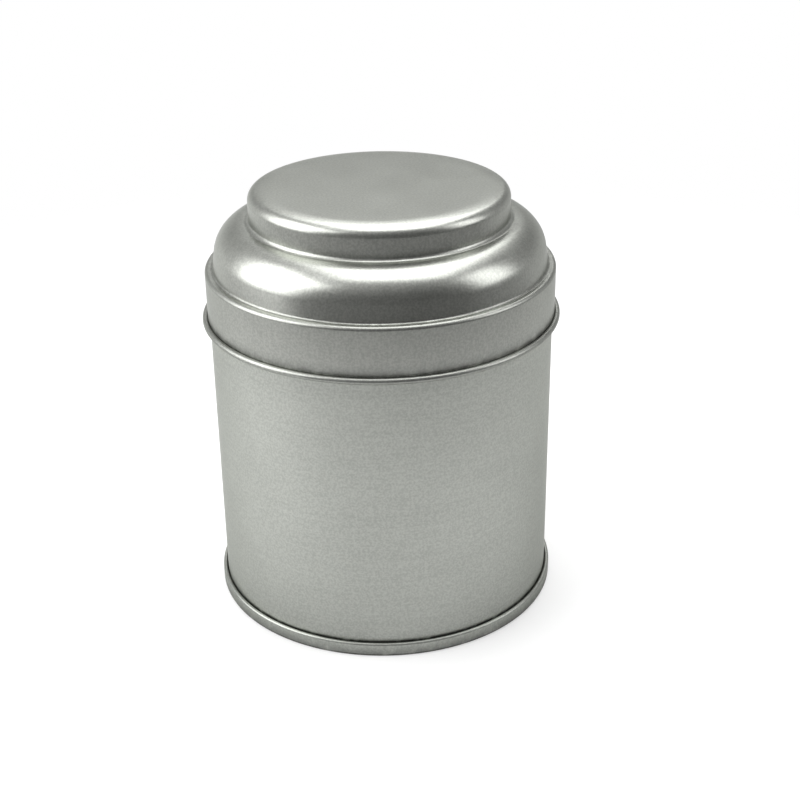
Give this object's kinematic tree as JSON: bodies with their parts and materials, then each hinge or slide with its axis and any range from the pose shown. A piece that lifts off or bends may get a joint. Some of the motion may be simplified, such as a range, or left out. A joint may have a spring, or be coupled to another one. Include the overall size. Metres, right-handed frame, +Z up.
{
  "type": "candle tin",
  "caption": "Round tinplate candle tin with a rolled body, a double-seamed base and a stepped, domed slip-on lid that lifts straight off.",
  "frame": {"origin": "centre of the tin's base, on the plane that the bottom of the double seam stands on", "axes": "+Z up along the tin's axis, from the base to the lid; +Y towards the body's side seam at the back; +X to the right seen from the front"},
  "size_m": [0.076, 0.076, 0.0909],
  "materials": {
    "body_tinplate": "satin tinplate, matte silver",
    "base_tinplate": "satin tinplate, matte silver",
    "lid_tinplate": "satin tinplate, matte silver",
    "sealing_compound": "dull rubbery lining"
  },
  "bodies": {
    "tin": {"body_wall": "body_tinplate", "base_end": "base_tinplate", "seam_compound": "sealing_compound"},
    "lid": {"lid": "lid_tinplate"}
  },
  "joints": [
    {"name": "lid_lift", "type": "slide", "parent": "tin", "child": "lid", "axis": [0, 0, 1], "range_m": [0, 0.06]}
  ]
}
